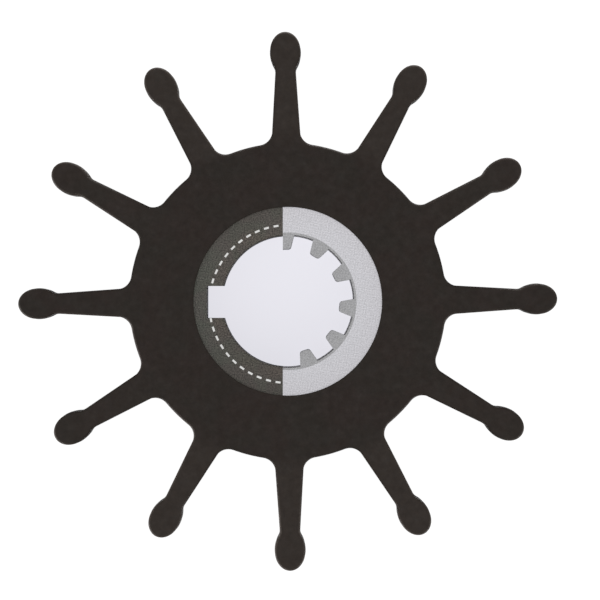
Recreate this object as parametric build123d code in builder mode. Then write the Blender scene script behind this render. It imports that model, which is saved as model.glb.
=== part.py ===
"""Flexible pump impeller: a moulded rubber star of twelve vanes round a bush in two halves.

The origin is on the shaft axis, in the plane of the lower end face. +Z runs up the axis and the
keyway opens towards -X. All lengths are in millimetres and all angles in degrees.
"""

import os
from math import radians, tan

from build123d import *

# Rubber moulding
impeller_diameter = 65.0  # over the tips of the vanes
impeller_width = 50.4  # from end face to end face
hub_diameter = 38.2
vane_count = 12
vane_clocking = 0.55  # how far the vanes are turned from the keyway's line
vane_root_thickness = 3.5  # on the hub's circle
vane_outer_thickness = 2.1  # at the widest point of the bulb, where the flanks would end
bulb_thickness = 3.67
bulb_tip_length = 2.3  # from the bulb's widest point out to the tip of the vane
bulb_back_length = 2.6  # from the same point inwards, to where its ellipse would close
root_fillet = 1.75
neck_fillet = 1.5  # between a flank and its bulb
end_rounding = 0.3  # along the rim of both end faces

# Bush, both halves together
bush_diameter = 22.75
bush_recess = 0.3  # how far each end of the bush lies below the rubber
bore_diameter = 15.9  # the keyed half's bore, and the bottom of the splines
split_offset = 0.59  # from the axis to the plane between the halves, on the keyway's side
groove_count = 3  # round the outside, filled by the rubber
groove_width = 3.0
groove_depth = 0.6
groove_pitch = 13.5
edge_break = 0.1  # chamfer on the edges of the bore

# Keyed half
keyway_width = 3.9
keyway_floor = 9.75  # from the axis to the flat bottom of the keyway
keyway_drop = 0.08  # how far the keyway's middle lies to the -Y side of the axis

# Splined half
spline_teeth = 11  # counted round the whole circle
spline_phase = 92.4  # direction of the tooth that the split cuts through
spline_tip_diameter = 12.6
tooth_tip_width = 1.22
tooth_root_width = 2.19  # on the bore's circle
tooth_tip_rounding = 0.4
lead_in_diameter = 16.6  # where the cone that starts the splines meets the end face
lead_in_angle = 30.0  # between the cone and the end face
root_relief = 0.11  # how much further out the bore starts between the teeth, at the end face
root_relief_depth = 0.8  # along the axis, from the end face to where the relief runs out

# White dashes let into the keyed half's upper end
dash_length = 0.6
dash_width = 0.24
dash_depth = 0.2
dash_row_radius = 9.51
dash_row_shift = 0.07  # how far the row's centre lies to the +X side of the axis
dash_row_drop = 0.33  # how far it lies to the -Y side
dash_pitch = 7.115  # angle from one dash to the next
first_dash_angle = 98.93
dash_places = 24  # along the whole row, with those that the keyway takes away

# Places that follow from the sizes above
impeller_radius = impeller_diameter / 2
hub_radius = hub_diameter / 2
bush_radius = bush_diameter / 2
bore_radius = bore_diameter / 2
spline_tip_radius = spline_tip_diameter / 2
lead_in_radius = lead_in_diameter / 2
bulb_centre = impeller_radius - bulb_tip_length
bush_bottom = bush_recess
bush_top = impeller_width - bush_recess
bush_length = bush_top - bush_bottom
lead_in_depth = (lead_in_radius - spline_tip_radius) * tan(radians(lead_in_angle))
relief_radius = bore_radius + root_relief
vane_plane = Plane.XY.rotated((0, 0, vane_clocking))
split_plane = Plane.YZ.offset(-split_offset)
nearly = 1e-4  # tolerance for picking edges and corners by their place


def vane_half_thickness(distance):
    """Half the thickness of a vane's flat part, at a distance from the axis: a straight taper."""
    share = (distance - hub_radius) / (bulb_centre - hub_radius)
    return (vane_root_thickness + (vane_outer_thickness - vane_root_thickness) * share) / 2


def tooth_half_width(distance):
    """Half the width of a spline tooth at a distance from the axis, on its straight flank."""
    share = (distance - spline_tip_radius) / (bore_radius - spline_tip_radius)
    return (tooth_tip_width + (tooth_root_width - tooth_tip_width) * share) / 2


def in_end_face(edge):
    """True for an edge that lies in the bush's upper or lower end face."""
    box = edge.bounding_box()
    flat = box.max.Z - box.min.Z < nearly
    return flat and min(abs(box.max.Z - bush_top), abs(box.max.Z - bush_bottom)) < nearly


# Outline of one vane along +X: a tapered strip out of the hub, and a bulb of two half ellipses
strip_start = (bush_radius + hub_radius) / 2
with BuildSketch(vane_plane) as vane:
    with BuildLine(vane_plane):
        Polyline(
            (strip_start, vane_half_thickness(strip_start)),
            (bulb_centre, vane_outer_thickness / 2),
            (bulb_centre, -vane_outer_thickness / 2),
            (strip_start, -vane_half_thickness(strip_start)),
            close=True,
        )
    make_face()
    with BuildLine(vane_plane):
        EllipticalCenterArc((bulb_centre, 0), bulb_tip_length, bulb_thickness / 2, -90, arc_size=180)
        EllipticalCenterArc((bulb_centre, 0), bulb_back_length, bulb_thickness / 2, 90, arc_size=180)
    make_face()
    neck_corners = vane.vertices().filter_by(
        lambda corner: strip_start + nearly < vane_plane.to_local_coords(corner).X < bulb_centre - nearly
    )
    fillet(neck_corners, neck_fillet)

# Outline of the whole moulding: the hub's circle and the ring of vanes
with BuildSketch(vane_plane) as star:
    Circle(hub_radius)
    with PolarLocations(0, vane_count):
        add(vane.sketch)
    root_corners = star.vertices().filter_by(
        lambda corner: abs(corner.center().length - hub_radius) < nearly
    )
    fillet(root_corners, root_fillet)

# The bush's outer form, one half of its section, with the grooves that hold it in the rubber
with BuildSketch(Plane.XZ) as bush_section:
    with Locations((0, bush_bottom)):
        Rectangle(bush_radius, bush_length, align=(Align.MIN, Align.MIN))
    with Locations((bush_radius, impeller_width / 2)):
        with GridLocations(0, groove_pitch, 1, groove_count):
            Rectangle(groove_depth, groove_width, align=(Align.MAX, Align.CENTER), mode=Mode.SUBTRACT)

with BuildPart() as bush_form:
    add(bush_section.sketch)
    revolve(axis=Axis.Z)

# The rubber is moulded round the bush, so its seat is the bush's own form
with BuildPart() as rubber_body:
    extrude(star.sketch, amount=impeller_width)
    fillet(rubber_body.faces().filter_by(Axis.Z).edges(), end_rounding)
    add(bush_form.part, mode=Mode.SUBTRACT)
    with BuildSketch(Plane.XY, Plane.XY.offset(bush_top)):
        Circle(bush_radius)
    extrude(amount=bush_recess, mode=Mode.SUBTRACT)
rubber_body.part.label = "rubber_body"

# The keyway seen along the shaft, from the axis out to its flat floor
with BuildSketch() as keyway:
    with Locations((0, -keyway_drop)):
        Rectangle(keyway_floor, keyway_width, align=(Align.MAX, Align.CENTER))

# Places of the white dashes, seen from above, with the keyway taken out of the row
with BuildSketch(Plane.XY.offset(bush_top)) as dash_row:
    with Locations((dash_row_shift, -dash_row_drop)):
        with PolarLocations(
            dash_row_radius,
            dash_places,
            start_angle=first_dash_angle,
            angular_range=dash_pitch * dash_places,
        ):
            Rectangle(dash_width, dash_length)
    add(keyway.sketch, mode=Mode.SUBTRACT)

with BuildPart() as dash_inlays:
    extrude(dash_row.sketch, amount=-dash_depth)
dash_inlays.part.label = "dash_inlays"

# Keyed half, on the -X side of the split
with BuildPart() as keyed_half_bush:
    add(bush_form.part)
    split(bisect_by=split_plane, keep=Keep.BOTTOM)
    with BuildSketch(Plane.XY.offset(bush_bottom)):
        Circle(bore_radius)
        add(keyway.sketch)
    extrude(amount=bush_length, mode=Mode.SUBTRACT)
    bore_rims = keyed_half_bush.edges().filter_by(in_end_face).filter_by(GeomType.CIRCLE)
    chamfer(bore_rims.filter_by(lambda rim: abs(rim.radius - bore_radius) < nearly), edge_break)
    add(dash_inlays.part, mode=Mode.SUBTRACT)
keyed_half_bush.part.label = "keyed_half_bush"

# One spline tooth along +X, from its rounded tip to just outside the bore's circle
tooth_end = (relief_radius + lead_in_radius) / 2
with BuildSketch() as tooth:
    with BuildLine():
        Polyline(
            (spline_tip_radius, tooth_half_width(spline_tip_radius)),
            (tooth_end, tooth_half_width(tooth_end)),
            (tooth_end, -tooth_half_width(tooth_end)),
            (spline_tip_radius, -tooth_half_width(spline_tip_radius)),
            close=True,
        )
    make_face()
    fillet(tooth.vertices().group_by(Axis.X)[0], tooth_tip_rounding)

# The splined half's bore between the teeth, one half of its section, wider at both ends
with BuildSketch(Plane.XZ) as spline_bore_section:
    with BuildLine():
        Polyline(
            (0, bush_bottom),
            (relief_radius, bush_bottom),
            (bore_radius, bush_bottom + root_relief_depth),
            (bore_radius, bush_top - root_relief_depth),
            (relief_radius, bush_top),
            (0, bush_top),
            close=True,
        )
    make_face()

# Splined half, on the +X side of the split
with BuildPart() as splined_half_bush:
    add(bush_form.part)
    add(spline_bore_section.sketch)
    revolve(axis=Axis.Z, mode=Mode.SUBTRACT)
    with BuildSketch(Plane.XY.offset(bush_bottom)):
        with PolarLocations(0, spline_teeth, start_angle=spline_phase):
            add(tooth.sketch)
    extrude(amount=bush_length)
    with Locations((0, 0, bush_top)):
        Cone(
            spline_tip_radius,
            lead_in_radius,
            lead_in_depth,
            align=(Align.CENTER, Align.CENTER, Align.MAX),
            mode=Mode.SUBTRACT,
        )
    with Locations((0, 0, bush_bottom)):
        Cone(
            lead_in_radius,
            spline_tip_radius,
            lead_in_depth,
            align=(Align.CENTER, Align.CENTER, Align.MIN),
            mode=Mode.SUBTRACT,
        )
    split(bisect_by=split_plane, keep=Keep.TOP)
splined_half_bush.part.label = "splined_half_bush"

os.makedirs("parts", exist_ok=True)
for piece in (rubber_body, keyed_half_bush, splined_half_bush, dash_inlays):
    export_step(piece.part, f"parts/{piece.part.label}.step")
    print(piece.part.label, "solids", len(piece.part.solids()), "volume", round(piece.part.volume, 1))
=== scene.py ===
# %% [markdown]
# # A rubber pump impeller
#
# A flexible impeller is a rubber star moulded round a bush. Here the construction model of the
# four pieces is loaded as a fixed frame, and Blender gives them their looks: the star is worked out
# again as one smooth surface with its mould marks, and every piece gets a finish made from shader
# nodes.

# %% Load the frame
from math import pi, radians, sqrt

import bmesh
import bpy
import numpy as np
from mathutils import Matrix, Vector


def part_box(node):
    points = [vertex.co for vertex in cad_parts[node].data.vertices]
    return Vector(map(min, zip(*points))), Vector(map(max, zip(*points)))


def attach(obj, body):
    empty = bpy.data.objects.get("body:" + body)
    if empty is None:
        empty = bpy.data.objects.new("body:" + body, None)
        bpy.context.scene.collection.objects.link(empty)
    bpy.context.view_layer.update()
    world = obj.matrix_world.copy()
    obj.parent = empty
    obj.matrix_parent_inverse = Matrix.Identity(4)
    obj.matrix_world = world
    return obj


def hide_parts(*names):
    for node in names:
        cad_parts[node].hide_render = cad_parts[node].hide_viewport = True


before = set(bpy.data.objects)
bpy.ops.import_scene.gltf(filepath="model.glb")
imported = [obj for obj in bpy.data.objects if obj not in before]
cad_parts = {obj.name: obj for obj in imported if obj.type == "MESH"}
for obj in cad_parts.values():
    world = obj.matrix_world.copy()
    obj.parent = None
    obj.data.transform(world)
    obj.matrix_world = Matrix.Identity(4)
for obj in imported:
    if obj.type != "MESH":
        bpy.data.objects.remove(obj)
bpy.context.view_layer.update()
print("pieces in the frame:", sorted(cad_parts))

# %% [markdown]
# ## Sizes
#
# The overall height and the bush's ends come from the frame. The rest of the star's outline is
# set by the few sizes that a mould maker would put on the drawing, in metres like everything in
# Blender.

# %% Sizes of the star and of the bush
MM = 0.001
star_low, star_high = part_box("rubber_body")
bottom, top = star_low.z, star_high.z
middle = (bottom + top) / 2
bush_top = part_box("splined_half_bush")[1].z

tip_radius = 32.5 * MM
hub_radius = 19.1 * MM
seat_radius = 11.375 * MM
vane_count = 12
vane_clocking = radians(0.55)
root_half = 1.75 * MM  # half the vane's thickness, on the hub's circle
outer_half = 1.05 * MM  # half the thickness that the flanks would have at the bulb's widest point
bulb_half = 1.835 * MM
bulb_tip_length = 2.3 * MM
bulb_back_length = 2.6 * MM
root_fillet = 1.75 * MM
neck_fillet = 1.5 * MM
rim_radius = 0.3 * MM
bulb_centre = tip_radius - bulb_tip_length
print("height %.1f mm, bush ends %.1f mm below the rubber" % (top / MM, (top - bush_top) / MM))

# %% [markdown]
# ## The outline of a vane
#
# A vane is a tapered strip with an oval bulb on its end, and fillets where it meets the hub and the
# bulb. It could be drawn by hand as a curve, but every stretch of it is a line, a circle or an
# ellipse, so each is computed whole as an array of points. Every point also keeps its outward
# normal, because the rounded rims and the parting line are the same outline moved along it.

# %% Lines and arcs with their normals
def unit(vectors):
    """Vectors divided by their own lengths."""
    return vectors / np.linalg.norm(vectors, axis=-1, keepdims=True)


def hollow_arc(centre, radius, start, end, count):
    """Centre plus radius times (cos t, sin t), with t even from start to end. The material is
    outside such a corner, so the normals point back to its centre."""
    t = np.linspace(start, end, count)
    out = np.stack([np.cos(t), np.sin(t)], axis=-1)
    return centre + radius * out, -out


def oval(length, side, u):
    """Points of half the bulb: bulb_centre plus side * length * sin u along the vane, and
    bulb_half * cos u across it. The normal is the gradient of the ellipse's equation."""
    points = np.stack([bulb_centre + side * length * np.sin(u), bulb_half * np.cos(u)], axis=-1)
    normals = unit(np.stack([side * np.sin(u) / length, np.cos(u) / bulb_half], axis=-1))
    return points, normals


# %% One side of a vane, from the tip to the middle of the gap
tip_points, back_points, neck_points = 20, 12, 7  # how many points draw each stretch
flank_points, root_points, hub_points = 16, 12, 8
search_points = 2000  # places tried on the bulb's back for the end of the neck's fillet


def angle_of(vector):
    """The direction of a vector in the plane, from 0 to a full turn."""
    return np.arctan2(vector[1], vector[0]) % (2 * pi)


def vane_side():
    """The side towards +Y of a vane that lies along +X, as stretches of points and normals: bulb
    tip, bulb back, neck, flank, root fillet and hub. A fillet's centre lies where the two lines
    beside it, each moved out by the fillet's radius, cross."""
    slope = (outer_half - root_half) / (bulb_centre - hub_radius)
    along = unit(np.array([1.0, slope]))
    across = np.array([-along[1], along[0]])
    flank_offset = across @ np.array([hub_radius, root_half])

    u = np.linspace(0, pi / 2, search_points)
    back, back_normals = oval(bulb_back_length, -1, u)
    above_flank = (back + neck_fillet * back_normals) @ across - flank_offset - neck_fillet
    neck_u = np.interp(0.0, -above_flank, u)
    neck_start, neck_normal = oval(bulb_back_length, -1, np.array([neck_u]))
    neck_centre = neck_start[0] + neck_fillet * neck_normal[0]

    reach = sqrt((hub_radius + root_fillet) ** 2 - (flank_offset + root_fillet) ** 2)
    root_centre = (flank_offset + root_fillet) * across + reach * along
    hub_angles = np.linspace(angle_of(root_centre), pi / vane_count, hub_points)
    hub_normals = np.stack([np.cos(hub_angles), np.sin(hub_angles)], axis=-1)

    flank_ends = np.array([neck_centre - neck_fillet * across, root_centre - root_fillet * across])
    share = np.linspace(0, 1, flank_points)[:, None]
    flank = flank_ends[0] * (1 - share) + flank_ends[1] * share
    to_bulb, to_flank, to_hub = angle_of(-neck_normal[0]), angle_of(-across), angle_of(-root_centre)
    return [
        oval(bulb_tip_length, 1, np.linspace(pi / 2, 0, tip_points)),
        oval(bulb_back_length, -1, np.linspace(0, neck_u, back_points)),
        hollow_arc(neck_centre, neck_fillet, to_bulb, to_flank, neck_points),
        (flank, np.broadcast_to(across, flank.shape)),
        hollow_arc(root_centre, root_fillet, to_flank, to_hub, root_points),
        (hub_radius * hub_normals, hub_normals),
    ]


stretches = vane_side()
keep = [slice(None)] + [slice(1, None)] * (len(stretches) - 1)  # neighbours share their end point
side_points = np.concatenate([points[part] for (points, _), part in zip(stretches, keep)])
side_normals = np.concatenate([normals[part] for (_, normals), part in zip(stretches, keep)])
flank_end = sum(len(points) - 1 for points, _ in stretches[:4])  # where the root fillet begins
print("one side of a vane:", len(side_points), "points, root at", side_points[flank_end] / MM)

# %% [markdown]
# ## The star as one closed surface
#
# The real star comes out of its mould in one piece, with rounded rims and a fine parting line. The
# outline could be extruded and bevelled, with the parting line laid on as a piece of its own. Here
# the surface is made of grids that share their edge points, so that each mark of the mould is only
# a few more rows in a grid. The wall is a profile carried along the outline: a rounded rim, a
# straight wall, the ridge of the parting line at half height, and the other rim. Each end face is a
# strip on every vane and a fan from the hub's edge in to the bush. The wall of the seat carries
# three ribs that fill the bush's grooves. Then the grids are welded and the shell is closed.

# %% Helpers for grids of points
def turned(points, angle):
    """Points in the plane turned about the axis: (x cos a - y sin a, x sin a + y cos a)."""
    x, y = points[..., 0], points[..., 1]
    cosine, sine = np.cos(angle), np.sin(angle)
    return np.stack([x * cosine - y * sine, x * sine + y * cosine], axis=-1)


def at_height(points, z):
    """Points in the plane raised to a height."""
    return np.concatenate([points, np.full(points.shape[:-1] + (1,), z)], axis=-1)


def vane_angles():
    """The direction of every vane."""
    return vane_clocking + 2 * pi / vane_count * np.arange(vane_count)


def both_sides(half):
    """A whole vane's run from its half: the mirrored half from the gap out to the tip, then the
    half itself."""
    return np.concatenate([(half * (1, -1))[::-1], half[1:]])


def whole_star(half):
    """The closed run round the star, made from half a vane and ending on its first point."""
    run = np.concatenate([turned(both_sides(half), angle)[:-1] for angle in vane_angles()])
    return np.concatenate([run, run[:1]])


# %% Welding grids into one mesh
weld_distance = 0.0005 * MM  # points that lie closer than this become one


def weld(name, sheets, sharp_angle):
    """One closed mesh from grids of points. Points that lie together become one, and the faces of
    the closed shell are then turned outwards. Edges that turn more than the angle stay sharp."""
    corners, quads, first = [], [], 0
    for sheet in sheets:
        rows, columns = sheet.shape[:2]
        index = first + np.arange(rows * columns).reshape(rows, columns)
        quads.append(np.stack([index[:-1, :-1], index[1:, :-1], index[1:, 1:], index[:-1, 1:]], -1))
        corners.append(sheet.reshape(-1, 3))
        first += rows * columns
    mesh = bpy.data.meshes.new(name)
    mesh.from_pydata(np.concatenate(corners), [], np.concatenate([q.reshape(-1, 4) for q in quads]))
    shell = bmesh.new()
    shell.from_mesh(mesh)
    bmesh.ops.remove_doubles(shell, verts=shell.verts, dist=weld_distance)
    bmesh.ops.recalc_face_normals(shell, faces=shell.faces)
    open_edges = sum(not edge.is_manifold for edge in shell.edges)
    shell.to_mesh(mesh)
    shell.free()
    mesh.polygons.foreach_set("use_smooth", np.ones(len(mesh.polygons), bool))
    mesh.set_sharp_from_angle(angle=sharp_angle)
    piece = bpy.data.objects.new(name, mesh)
    bpy.context.scene.collection.objects.link(piece)
    print(name, len(mesh.polygons), "faces,", open_edges, "open edges")
    return piece


# %% The wall: a profile carried along the outline
parting_height = 0.05 * MM  # how far the parting line stands out
parting_width = 0.11 * MM
ridge_reach = 3  # how many widths from its middle the parting line has faded out
rim_points, ridge_points, wall_points = 7, 9, 6  # how many points draw each stretch


def wall_profile():
    """How far the wall lies inside the outline, and at what height, from the upper rim to the
    lower. A rim is a quarter circle, and the parting line is a bell curve at half height."""
    t = np.linspace(0, pi / 2, rim_points)
    rim_in, rim_down = rim_radius * (1 - np.sin(t)), rim_radius * (1 - np.cos(t))
    ridge = np.linspace(-ridge_reach, ridge_reach, ridge_points) * parting_width
    upper_wall = np.linspace(top - rim_radius, middle + ridge[-1], wall_points)[1:-1]
    lower_wall = np.linspace(middle + ridge[0], bottom + rim_radius, wall_points)[1:-1]
    wall_z = np.concatenate([upper_wall, middle + ridge[::-1], lower_wall])
    wall_in = -parting_height * np.exp(-(((wall_z - middle) / parting_width) ** 2))
    inset = np.concatenate([rim_in, wall_in, rim_in[::-1]])
    height = np.concatenate([top - rim_down, wall_z, bottom + rim_down[::-1]])
    return inset, height


wall = np.stack([at_height(whole_star(side_points - inset * side_normals), z)
                 for inset, z in zip(*wall_profile())])
print("wall grid:", wall.shape[:2])

# %% The end faces: strips on the vanes and fans on the hub
seat_lip = 0.12 * MM  # the small radius where the end face turns down to the bush
across_points, fan_rows = 11, 12  # points across a vane, and rows from the hub's rim inwards


def end_face(z):
    """The grids of one end face. A strip's rows run straight across the vane between two opposite
    points of the rim. A fan's rows go from the hub's rim to the seat's, along lines through the
    axis."""
    rim = side_points - rim_radius * side_normals
    share = np.linspace(-1, 1, across_points)
    strip_rim = rim[:flank_end + 1]
    strip = np.stack([np.broadcast_to(strip_rim[:, :1], (len(strip_rim), across_points)),
                      strip_rim[:, 1:] * share], axis=-1)
    hub_rim = rim[flank_end:]
    outer = np.concatenate([(hub_rim * (1, -1))[::-1], strip[-1][1:-1], hub_rim])
    inner = (seat_radius + seat_lip) * unit(outer)
    rows = np.linspace(0, 1, fan_rows)[:, None, None]
    fan = outer * (1 - rows) + inner * rows
    return [at_height(turned(grid, angle), z) for angle in vane_angles() for grid in (strip, fan)]


upper_face = end_face(top)
lower_face = end_face(bottom)
print("grids in an end face:", len(upper_face))

# %% The seat of the bush
rib_height = 0.6 * MM
rib_width = 3.0 * MM
rib_pitch = 13.5 * MM
rib_places = middle + rib_pitch * np.array([1, 0, -1])
lip_points = 5


def seat_profile():
    """Radius and height of the seat's wall from the upper lip to the lower one, with a square rib
    in each groove of the bush."""
    t = np.linspace(0, pi / 2, lip_points)
    lip_radius, lip_down = seat_radius + seat_lip * (1 - np.sin(t)), seat_lip * (1 - np.cos(t))
    steps = np.array([[0, 1], [-rib_height, 1], [-rib_height, -1], [0, -1]])
    rib_radius, rib_edge = seat_radius + steps[:, 0], steps[:, 1] * rib_width / 2
    ribs = np.concatenate([np.stack([rib_radius, place + rib_edge], -1) for place in rib_places])
    upper = np.stack([lip_radius, top - lip_down], -1)
    lower = np.stack([lip_radius, bottom + lip_down], -1)[::-1]
    return np.concatenate([upper, ribs, lower])


fan_ends = [grid[-1] for grid in upper_face[1::2]]
seat_run = unit(np.concatenate([run[:-1, :2] for run in fan_ends] + [fan_ends[0][:1, :2]]))
seat = np.stack([at_height(radius * seat_run, z) for radius, z in seat_profile()])
print("seat grid:", seat.shape[:2])

# %% Weld the star and let it stand for the construction model's
sharp_angle = radians(35)
star = weld("moulded_star", [wall, seat, *upper_face, *lower_face], sharp_angle)
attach(star, "root")
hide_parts("rubber_body")

# %% [markdown]
# ## Helpers for finishes
#
# A finish is a graph of shader nodes. It could be put together by hand in the node editor, but as
# code it can be read and built again. These few helpers keep the graphs short: one adds a node, one
# does a sum on sockets or plain numbers, and one makes a named group. All patterns are worked out
# from Object coordinates, in metres, so they stay on the piece from every side.

# %% Node helpers
def add(tree, kind, inputs=None, **settings):
    """A new node with its settings, and with inputs given as numbers or as sockets to link."""
    node = tree.nodes.new(kind)
    for name, value in settings.items():
        setattr(node, name, value)
    for key, value in (inputs or {}).items():
        put(tree, value, node.inputs[key])
    return node


def put(tree, value, socket):
    """A socket's value, whether it is a plain value or another socket."""
    if isinstance(value, bpy.types.NodeSocket):
        tree.links.new(value, socket)
    else:
        socket.default_value = value


def calc(tree, operation, *values):
    """The result of one Math node."""
    return add(tree, "ShaderNodeMath", dict(enumerate(values)), operation=operation).outputs[0]


def noise(tree, place, width, detail=2.0):
    """Noise between 0 and 1, with lumps about this wide in metres."""
    settings = {"Vector": place, "Scale": 1 / width, "Detail": detail}
    return add(tree, "ShaderNodeTexNoise", settings).outputs[0]


def drawn_out(tree, place, squeeze):
    """Coordinates squeezed along the shaft, which draw a pattern out into upright strokes."""
    return add(tree, "ShaderNodeMapping", {"Vector": place, "Scale": (1, 1, squeeze)}).outputs[0]


def ramp_between(tree, value, low, high):
    """A share that goes from 0 to 1 as the value goes from low to high."""
    node = add(tree, "ShaderNodeMapRange", {"Value": value, "From Min": low, "From Max": high},
               interpolation_type="SMOOTHSTEP")
    return node.outputs[0]


# %% Colour helpers
def blend_colours(tree, share, first, second, kind="MIX"):
    """The first colour turned into the second by a share from 0 to 1."""
    node = add(tree, "ShaderNodeMix", data_type="RGBA", blend_type=kind)
    put(tree, share, node.inputs[0])
    put(tree, first, node.inputs[6])
    put(tree, second, node.inputs[7])
    return node.outputs[2]


def about_one(tree, mask, strength):
    """One plus the strength times how far the mask is from one half, to multiply a colour by."""
    return calc(tree, "MULTIPLY_ADD", calc(tree, "SUBTRACT", mask, 0.5), strength, 1.0)


def lit(tree, colour, light):
    """A colour with its red, green and blue all multiplied by the same number."""
    grey = add(tree, "ShaderNodeCombineColor", {"Red": light, "Green": light, "Blue": light})
    return blend_colours(tree, 1.0, colour, grey.outputs[0], "MULTIPLY")


# %% Helpers for groups
def new_group(name, inputs, outputs):
    """An empty node group with named sockets, and its input and output nodes."""
    group = bpy.data.node_groups.new(name, "ShaderNodeTree")
    for direction, sockets in (("INPUT", inputs), ("OUTPUT", outputs)):
        for label, kind in sockets.items():
            group.interface.new_socket(label, in_out=direction, socket_type="NodeSocket" + kind)
    given = group.nodes.new("NodeGroupInput").outputs
    out = group.nodes.new("NodeGroupOutput").inputs
    return group, given, out


def use_group(tree, group, **values):
    """The outputs of a group placed in a material, with its values given by name."""
    node = add(tree, "ShaderNodeGroup", node_tree=group)
    for label, value in values.items():
        put(tree, value, node.inputs[label])
    return node.outputs


# %% [markdown]
# ## Effects that several finishes share
#
# Cloudy tone, the fine linen-like grid of a lapped or pressed face, and the distance from the
# shaft's axis are each needed by more than one finish. The same nodes could be repeated in every
# material, but a group is built once and then takes each finish's own values. A group gives out
# only masks, heights and distances, and the finish decides what to do with them.

# %% Clouds
def make_clouds():
    """A mask near one half that drifts slowly. Size is the clouds' width in metres."""
    inputs = {"Vector": "Vector", "Size": "Float"}
    group, given, out = new_group("clouds", inputs, {"Mask": "Float"})
    scale = calc(group, "DIVIDE", 1.0, given["Size"])
    texture = add(group, "ShaderNodeTexNoise", {"Vector": given["Vector"], "Scale": scale,
                                                "Detail": 3.0, "Roughness": 0.55})
    put(group, texture.outputs[0], out["Mask"])
    return group


clouds = make_clouds()
print("group:", clouds.name)

# %% A fine grid
patches_a_pitch = 0.3  # how many lumps of the noise that breaks up the grid go into one pitch


def make_grid():
    """A fine grid: the sum of sin(x) and sin(y) of the turned coordinates, stronger and weaker in
    patches by a noise, halved, and raised by one half."""
    inputs = {"Vector": "Vector", "Pitch": "Float", "Turn": "Float"}
    group, given, out = new_group("fine_grid", inputs, {"Height": "Float"})
    turn = add(group, "ShaderNodeCombineXYZ", {"Z": given["Turn"]})
    turned_place = {"Vector": given["Vector"], "Rotation": turn.outputs[0]}
    mapped = add(group, "ShaderNodeMapping", turned_place)
    parts = add(group, "ShaderNodeSeparateXYZ", {0: mapped.outputs[0]}).outputs
    wave = calc(group, "DIVIDE", 2 * pi, given["Pitch"])
    sines = [calc(group, "SINE", calc(group, "MULTIPLY", parts[axis], wave)) for axis in "XY"]
    patch_scale = calc(group, "DIVIDE", patches_a_pitch, given["Pitch"])
    patches = add(group, "ShaderNodeTexNoise", {"Vector": given["Vector"], "Scale": patch_scale})
    broken = calc(group, "MULTIPLY", calc(group, "ADD", *sines), patches.outputs[0])
    put(group, calc(group, "MULTIPLY_ADD", broken, 0.5, 0.5), out["Height"])
    return group


fine_grid = make_grid()
print("group:", fine_grid.name)

# %% The distance from the shaft's axis
def make_axis_distance():
    """The distance from the shaft's axis: the square root of x squared plus y squared."""
    group, given, out = new_group("axis_distance", {"Vector": "Vector"}, {"Distance": "Float"})
    level = {0: given["Vector"], 1: (1, 1, 0)}
    flat = add(group, "ShaderNodeVectorMath", level, operation="MULTIPLY")
    length = add(group, "ShaderNodeVectorMath", {0: flat.outputs[0]}, operation="LENGTH")
    put(group, length.outputs["Value"], out["Distance"])
    return group


axis_distance = make_axis_distance()
print("group:", axis_distance.name)

# %% Helpers for materials
def new_finish(name):
    """An empty material with a Principled shader, and its Object coordinates."""
    material = bpy.data.materials.new(name)
    material.use_nodes = True
    tree = material.node_tree
    place = add(tree, "ShaderNodeTexCoord").outputs["Object"]
    return material, tree, tree.nodes["Principled BSDF"], place


def part_of(tree, place, axis):
    """One of the coordinates X, Y and Z."""
    return add(tree, "ShaderNodeSeparateXYZ", {0: place}).outputs[axis]


def from_axis(tree, place):
    """The distance from the shaft's axis."""
    return use_group(tree, axis_distance, Vector=place)["Distance"]


def cloudy(tree, place, size):
    """A mask of clouds of one size."""
    return use_group(tree, clouds, Vector=place, Size=size)["Mask"]


def patchy(tree, place, size, blur):
    """The same clouds as patches with clearer borders: a ramp from one half less the blur to one
    half plus the blur."""
    return ramp_between(tree, cloudy(tree, place, size), 0.5 - blur, 0.5 + blur)


def add_relief(tree, shader, height, depth):
    """Bump from a height, in which 1 stands for the depth in metres."""
    bump = add(tree, "ShaderNodeBump", {"Height": height, "Distance": depth, "Strength": 1.0})
    put(tree, bump.outputs[0], shader.inputs["Normal"])


# %% [markdown]
# ## Black rubber
#
# Moulded nitrile rubber is nearly black, a little warm, with a soft satin from the mould. Its tone
# drifts slightly between warmer and cooler patches under a fine bloom. The vanes on the two Y sides
# are painted lighter than those on the X sides: painted light, as if more light fell on them. The
# steel of the mould leaves a very fine grain. Its halves were milled from above, so faint upright
# strokes, and streaks that are glossier or duller, show on the walls. All this could be painted on
# an image and wrapped round the star, but noise in space has no seams, and it runs on from the
# walls to the end faces as it does in the real rubber.

# %% Tones of the rubber
warm_black, cool_black = (0.0236, 0.0157, 0.0125, 1), (0.0212, 0.0161, 0.0124, 1)
painted_light_grey = (0.0312, 0.0231, 0.0184, 1)
painted_light_start, painted_light_radius = 18.3 * MM, 21.5 * MM  # between them the vanes' painted light sets in
full_painted_light = 0.75  # the square of y over the distance, from which a vane's painted light is full
patch_size, patch_blur = 5 * MM, 0.15
bloom_size, bloom_strength = 0.7 * MM, 0.7


def rubber_tone(tree, place):
    """Two dark tones mixed by clouds, then painted light's grey by its share: a ramp outwards times
    a ramp of (y divided by the distance from the axis) squared. Fine clouds lay the bloom over."""
    patches = patchy(tree, place, patch_size, patch_blur)
    tone = blend_colours(tree, patches, warm_black, cool_black)
    distance = from_axis(tree, place)
    sideways = calc(tree, "DIVIDE", part_of(tree, place, "Y"), distance)
    # painted light: the vanes towards the two Y sides are lighter than those towards the X sides
    y_side_lit = ramp_between(tree, calc(tree, "MULTIPLY", sideways, sideways), 0.0, full_painted_light)
    outward = ramp_between(tree, distance, painted_light_start, painted_light_radius)
    tone = blend_colours(tree, calc(tree, "MULTIPLY", outward, y_side_lit), tone, painted_light_grey)
    return lit(tree, tone, about_one(tree, cloudy(tree, place, bloom_size), bloom_strength))


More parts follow.
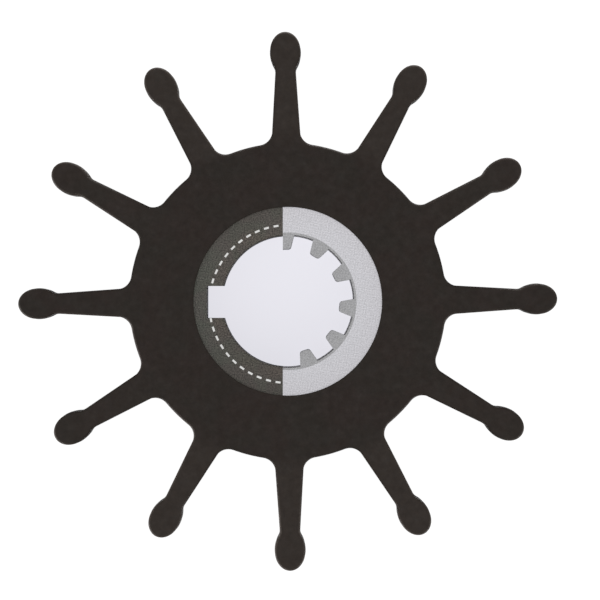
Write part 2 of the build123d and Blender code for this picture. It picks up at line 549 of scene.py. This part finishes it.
# %% Rubber finish
mould_grain, mould_depth = 0.25 * MM, 0.012 * MM
stroke_width, stroke_squeeze = 0.35 * MM, 0.04
streak_width, streak_squeeze = 0.9 * MM, 0.1
satin, streak_change, grain_change = 0.3, 0.4, 0.16  # the least roughness, and what is added to it


def rubber_finish():
    """The rubber's tone, grain and upright strokes in the relief, and grain and broader streaks in
    the gloss."""
    material, tree, shader, place = new_finish("moulded_black_rubber")
    put(tree, rubber_tone(tree, place), shader.inputs["Base Color"])
    grain = noise(tree, place, mould_grain)
    strokes = noise(tree, drawn_out(tree, place, stroke_squeeze), stroke_width)
    height = calc(tree, "MULTIPLY", calc(tree, "ADD", grain, strokes), 0.5)
    add_relief(tree, shader, height, mould_depth)
    streaks = noise(tree, drawn_out(tree, place, streak_squeeze), streak_width)
    streaky = calc(tree, "MULTIPLY_ADD", streaks, streak_change, satin)
    roughness = calc(tree, "MULTIPLY_ADD", grain, grain_change, streaky)
    put(tree, roughness, shader.inputs["Roughness"])
    put(tree, 0.2, shader.inputs["Specular IOR Level"])
    return material


star.data.materials.append(rubber_finish())
print("finish on", star.name)

# %% [markdown]
# ## Dark composite
#
# The keyed half is moulded from a filled resin: dark grey, matt, with a fine linen-like grid on its
# outer zone and a slightly lighter, warmer zone inside the row of dashes. The filler gives it light
# and dark specks and patches that are faintly rosy or greenish. One noise over one grey could stand
# for all of that, but specks, patches and grid differ in size and strength, so each is a texture of
# its own and can be set by itself.

# %% Tones of the composite
dash_row_radius = 9.5 * MM
zone_blur = 0.5 * MM  # half the width over which the two zones run into each other
inner_tone, outer_tone = (0.0960, 0.0830, 0.0690, 1), (0.0795, 0.0722, 0.0617, 1)
drift_tone = (0.0835, 0.0770, 0.0660, 1)
woven_tone = (0.0845, 0.0822, 0.0702, 1)  # furthest from the other half, where the grid shows most
rosy, greenish = (1.025, 0.98, 1.005, 1), (0.975, 1.018, 0.99, 1)
drift_size, drift_blur = 3 * MM, 0.2
hue_size, hue_blur = 1.7 * MM, 0.1


def composite_tone(tree, place, outside, woven):
    """Outer and inner tones split at the row of dashes, a drift, the paler tone of the woven side,
    and the hue of the patches."""
    tone = blend_colours(tree, outside, inner_tone, outer_tone)
    tone = blend_colours(tree, patchy(tree, place, drift_size, drift_blur), tone, drift_tone)
    tone = blend_colours(tree, calc(tree, "MULTIPLY", woven, outside), tone, woven_tone)
    hue = blend_colours(tree, patchy(tree, place, hue_size, hue_blur), rosy, greenish)
    return blend_colours(tree, 1.0, tone, hue, "MULTIPLY")


# %% Composite finish
grid_pitch, grid_turn = 0.32 * MM, radians(9.5)
grain_size, speck_strength = 0.135 * MM, 2.5
least_grid, woven_grid = 0.18, 0.2  # the grid's strength by the split, and what the far side adds
woven_start = 0.45 * seat_radius  # how far to the -X side the grid begins to show more
calming = 0.22  # the share of their strength that grid and specks lose on the outer zone
composite_painted_light = 0.12  # how much lighter painted light makes it at its +Y edge than at its -Y edge
composite_depth = 0.008 * MM


def painted_light_along_y(tree, place, strength):
    """Painted light and shade: one plus the strength times a ramp from minus one half at the bush's
    -Y edge to plus one half at its +Y edge, as if more light fell on the +Y side."""
    upper = ramp_between(tree, part_of(tree, place, "Y"), -seat_radius, seat_radius)
    return about_one(tree, upper, strength)


def composite_finish():
    """The zones' tones times the grid, the specks and a slow slope of painted light along Y. Grid
    and specks are calmer on the outer zone, and stand in the relief too."""
    material, tree, shader, place = new_finish("dark_filled_resin")
    distance = from_axis(tree, place)
    outside = ramp_between(tree, distance, dash_row_radius - zone_blur, dash_row_radius + zone_blur)
    woven = ramp_between(tree, part_of(tree, place, "X"), -woven_start, -seat_radius)
    grid = use_group(tree, fine_grid, Vector=place, Pitch=grid_pitch, Turn=grid_turn)["Height"]
    speck = noise(tree, place, grain_size, 0.0)
    calm = calc(tree, "MULTIPLY_ADD", outside, -calming, 1.0)
    weave = calc(tree, "MULTIPLY_ADD", woven, woven_grid, least_grid)
    grid_light = about_one(tree, grid, calc(tree, "MULTIPLY", calm, weave))
    speck_light = about_one(tree, speck, calc(tree, "MULTIPLY", calm, speck_strength))
    light = calc(tree, "MULTIPLY", grid_light, speck_light)
    # painted light: the face is lighter towards +Y and darker towards -Y
    light = calc(tree, "MULTIPLY", light, painted_light_along_y(tree, place, composite_painted_light))
    tone = composite_tone(tree, place, outside, woven)
    put(tree, lit(tree, tone, light), shader.inputs["Base Color"])
    add_relief(tree, shader, calc(tree, "ADD", grid, speck), composite_depth)
    put(tree, 0.6, shader.inputs["Roughness"])
    put(tree, 0.35, shader.inputs["Specular IOR Level"])
    return material


def dress(node, slot, material):
    """Gives a construction piece its finish in place of the plain one."""
    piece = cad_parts[node]
    piece.data.materials.clear()
    piece.data.materials.append(material)
    print("finish on", node, "for slot", slot)


dress("keyed_half_bush", "dark_composite", composite_finish())

# %% [markdown]
# ## Bright metal
#
# The splined half is pressed and lapped metal. Its ring is light and even, a touch bluer towards
# the bore, with the same fine grid as its neighbour. The cone that leads a shaft in, the teeth and
# the bore are as the broach left them: darker and a little rougher. Bright metal is often drawn
# with long brushed streaks, but lapping leaves none, so only the grid and a fine grain break its
# light.

# %% Metal finish
lead_in_radius = 8.3 * MM
lead_in_blur = 0.02 * MM
near_bore, near_rubber = (0.597, 0.593, 0.621, 1), (0.584, 0.575, 0.603, 1)
broached = (0.594, 0.594, 0.606, 1)
metal_grid, metal_grain = 0.11, 0.56  # how strongly each changes the tone
# painted light: how much lighter the ring is at its +Y edge than at its -Y edge
metal_painted_light = 0.034
metal_depth = 0.004 * MM
lapped_roughness, broached_change = 0.5, 0.08


def metal_finish():
    """Lapped metal outside the lead-in's circle and broached metal inside it, times grid, grain and
    a slow slope of painted light along Y."""
    material, tree, shader, place = new_finish("lapped_light_metal")
    distance = from_axis(tree, place)
    outward = ramp_between(tree, distance, lead_in_radius, seat_radius)
    lapped = blend_colours(tree, outward, near_bore, near_rubber)
    edge_out, edge_in = lead_in_radius + lead_in_blur, lead_in_radius - lead_in_blur
    inside = ramp_between(tree, distance, edge_out, edge_in)
    tone = blend_colours(tree, inside, lapped, broached)
    grid = use_group(tree, fine_grid, Vector=place, Pitch=grid_pitch, Turn=grid_turn)["Height"]
    grain = noise(tree, place, grain_size, 0.0)
    grid_light, grain_light = about_one(tree, grid, metal_grid), about_one(tree, grain, metal_grain)
    light = calc(tree, "MULTIPLY", grid_light, grain_light)
    # painted light: the ring is lighter towards +Y and darker towards -Y
    light = calc(tree, "MULTIPLY", light, painted_light_along_y(tree, place, metal_painted_light))
    put(tree, lit(tree, tone, light), shader.inputs["Base Color"])
    add_relief(tree, shader, calc(tree, "ADD", grid, grain), metal_depth)
    roughness = calc(tree, "MULTIPLY_ADD", inside, broached_change, lapped_roughness)
    put(tree, roughness, shader.inputs["Roughness"])
    put(tree, 1.0, shader.inputs["Metallic"])
    return material


dress("splined_half_bush", "bright_metal", metal_finish())

# %% [markdown]
# ## White dashes
#
# The dashes are shallow slots filled with white paint and wiped flush. They could be masked out in
# the finish of the face, but the construction model has each one as a small solid, so they only
# need a finish of their own. Paint in a slot is matt and slightly uneven, so its tone drifts a
# little from dash to dash.

# %% Paint finish
clean_white, dull_white = (0.94, 0.94, 0.92, 1), (0.86, 0.86, 0.84, 1)
paint_drift, paint_blur = 1.2 * MM, 0.15
paint_grain, paint_depth = 0.15 * MM, 0.006 * MM


def paint_finish():
    """Off-white with a slow drift and a fine grain."""
    material, tree, shader, place = new_finish("white_fill_paint")
    drift = patchy(tree, place, paint_drift, paint_blur)
    tone = blend_colours(tree, drift, clean_white, dull_white)
    put(tree, tone, shader.inputs["Base Color"])
    add_relief(tree, shader, noise(tree, place, paint_grain), paint_depth)
    put(tree, 0.55, shader.inputs["Roughness"])
    return material


dress("dash_inlays", "white_fill", paint_finish())

# %% [markdown]
# ## Floor
#
# The impeller stands on a pale sheet over a light table. An ordinary white floor would be grey in
# the gaps, where the vanes keep the light off it. Here the table shines through the sheet round the
# part instead, and no shadow lies between the vanes. Under the bore the glow is dimmer, and painted
# shade fades it away from a point a little to the +Y side of the shaft. All of it is worked out
# from distances on the sheet's own coordinates.

# %% Glow of the light table
pool_radius = 40 * MM  # how far the full glow reaches, and the same again until it has gone
pool_glow, far_glow = (0.98, 0.98, 0.98, 1), (0.38, 0.38, 0.38, 1)
pool_sheet, far_sheet = (0.15, 0.15, 0.15, 1), (0.8, 0.8, 0.8, 1)
# painted shade: the glow seen through the bore, dimmer than round the part
painted_bore_glow = (0.791, 0.784, 0.843, 1)
painted_shade_shift = 5 * MM  # the painted shade under the bore is centred this far to the +Y side of the axis
painted_shade_reach = 42 * MM  # how far from its centre the painted shade would have faded the glow away
bore_glow_edge = 2 * MM  # inside the hub's circle, which hides where one glow turns into the other


def painted_bore_shade(tree, place):
    """Dim glow under the bore times painted shade: one minus (distance from its centre over the
    reach) squared.
    """
    shift = {"Vector": place, "Location": (0, -painted_shade_shift, 0)}
    away = from_axis(tree, add(tree, "ShaderNodeMapping", shift).outputs[0])
    fading = calc(tree, "POWER", calc(tree, "DIVIDE", away, painted_shade_reach), 2.0)
    return lit(tree, painted_bore_glow, calc(tree, "SUBTRACT", 1.0, fading))


def table_finish():
    """A white sheet with a glow in three zones: under the bore, dimmed by painted shade, round the
    part, and further out.
    """
    material, tree, shader, place = new_finish("pale_sheet")
    distance = from_axis(tree, place)
    beyond = ramp_between(tree, distance, pool_radius, pool_radius * 2)
    glow = blend_colours(tree, beyond, pool_glow, far_glow)
    under_bore = ramp_between(tree, distance, hub_radius, hub_radius - bore_glow_edge)
    # painted shade: under the bore the sheet's glow is dimmer and fades towards the bore's wall
    glow = blend_colours(tree, under_bore, glow, painted_bore_shade(tree, place))
    put(tree, glow, shader.inputs["Emission Color"])
    put(tree, 1.0, shader.inputs["Emission Strength"])
    sheet = blend_colours(tree, beyond, pool_sheet, far_sheet)
    put(tree, sheet, shader.inputs["Base Color"])
    put(tree, 0.9, shader.inputs["Roughness"])
    put(tree, 0.0, shader.inputs["Specular IOR Level"])
    return material


# %% The sheet
floor_half = 8.0  # half the sheet's side, wide enough for low views
floor_drop = 0.02 * MM  # keeps the sheet just clear of the part's lower face


def make_floor():
    """A square sheet in the plane that the part stands on, one face wide."""
    mesh = bpy.data.meshes.new("floor_sheet")
    corners = floor_half * np.array([[-1, -1, 0], [1, -1, 0], [1, 1, 0], [-1, 1, 0]])
    corners[:, 2] = bottom - floor_drop
    mesh.from_pydata(corners, [], [(0, 1, 2, 3)])
    sheet = bpy.data.objects.new("floor_sheet", mesh)
    bpy.context.scene.collection.objects.link(sheet)
    mesh.materials.append(table_finish())
    return sheet


make_floor()
print("floor made")

# %% [markdown]
# ## Light
#
# The studio is white all round, with one weak sun straight overhead, along the shaft. A main light
# from one side is more usual, but this one puts no shadow beside the part and keeps the light equal
# on every side of the lead-in cone. Three soft panels stand on the floor round the part. They are
# lower than it is, so none of their light falls on the end face, and they draw the bulbs and the
# walls of the vanes when the part is seen from the side.

# %% White surround
surround = 0.68  # how brightly it lights the part


def make_world():
    """An even grey-white surround. Where the camera sees it directly it is white."""
    world = bpy.data.worlds.new("studio")
    bpy.context.scene.world = world
    world.use_nodes = True
    tree = world.node_tree
    background = tree.nodes["Background"]
    seen = add(tree, "ShaderNodeLightPath").outputs["Is Camera Ray"]
    strength = calc(tree, "MULTIPLY_ADD", seen, 1.0 - surround, surround)
    put(tree, strength, background.inputs["Strength"])
    put(tree, (1, 1, 1, 1), background.inputs["Color"])


make_world()
print("surround made")

# %% Sun and panels
sun_strength = 0.23
sun_width = radians(6)
panel_width = 0.16
panel_height = 0.045  # lower than the part
panel_distance = 0.3
panels = {  # direction in degrees round from the front, and power in watts
    "left_panel": (-60, 1.2),
    "right_panel": (55, 0.6),
    "back_panel": (170, 0.9),
}


def make_lamp(name, kind, energy, location):
    """A light of one kind in its place, pointing straight down."""
    lamp = bpy.data.objects.new(name, bpy.data.lights.new(name, kind))
    lamp.data.energy = energy
    lamp.location = location
    bpy.context.scene.collection.objects.link(lamp)
    return lamp


def make_panel(name, azimuth, power):
    """A wide and low soft light that stands on the floor and faces the part from one side."""
    stand = (panel_distance * np.sin(azimuth), -panel_distance * np.cos(azimuth), middle)
    panel = make_lamp(name, "AREA", power, stand)
    panel.rotation_euler = (pi / 2, 0, azimuth)
    panel.visible_camera = False
    panel.data.shape = "RECTANGLE"
    panel.data.size, panel.data.size_y = panel_width, panel_height


make_lamp("overhead_sun", "SUN", sun_strength, (0, 0, 1)).data.angle = sun_width
for name, (azimuth, power) in panels.items():
    make_panel(name, radians(azimuth), power)

# %% [markdown]
# ## Camera
#
# The part is shown flat, straight along its shaft. A very long lens from far above comes close to
# that, and unlike a parallel view it also frames the part well from other sides. The camera stands
# a little to one side of the shaft, because the part isn't quite in the middle of the frame.

# %% Long lens from above
frame_pixels = 600
pixel = 0.12055 * MM  # what one pixel of the frame spans on the part's upper end face
axis_column, axis_row = 287.7, 301.3  # where the shaft's axis lies in the frame
lens, sensor = 1500.0, 36.0  # in millimetres, as Blender wants them

camera_data = bpy.data.cameras.new("camera")
camera_data.lens, camera_data.sensor_width = lens, sensor
camera = bpy.data.objects.new("camera", camera_data)
camera_distance = frame_pixels * pixel * lens / sensor
camera.location = ((frame_pixels / 2 - axis_column) * pixel, (axis_row - frame_pixels / 2) * pixel,
                   top + camera_distance)
camera_data.clip_start, camera_data.clip_end = 0.1, 3 * camera_distance
bpy.context.scene.collection.objects.link(camera)
bpy.context.scene.camera = camera
bpy.context.scene.view_settings.view_transform = "Standard"
print("camera %.2f m above the part" % camera_distance)
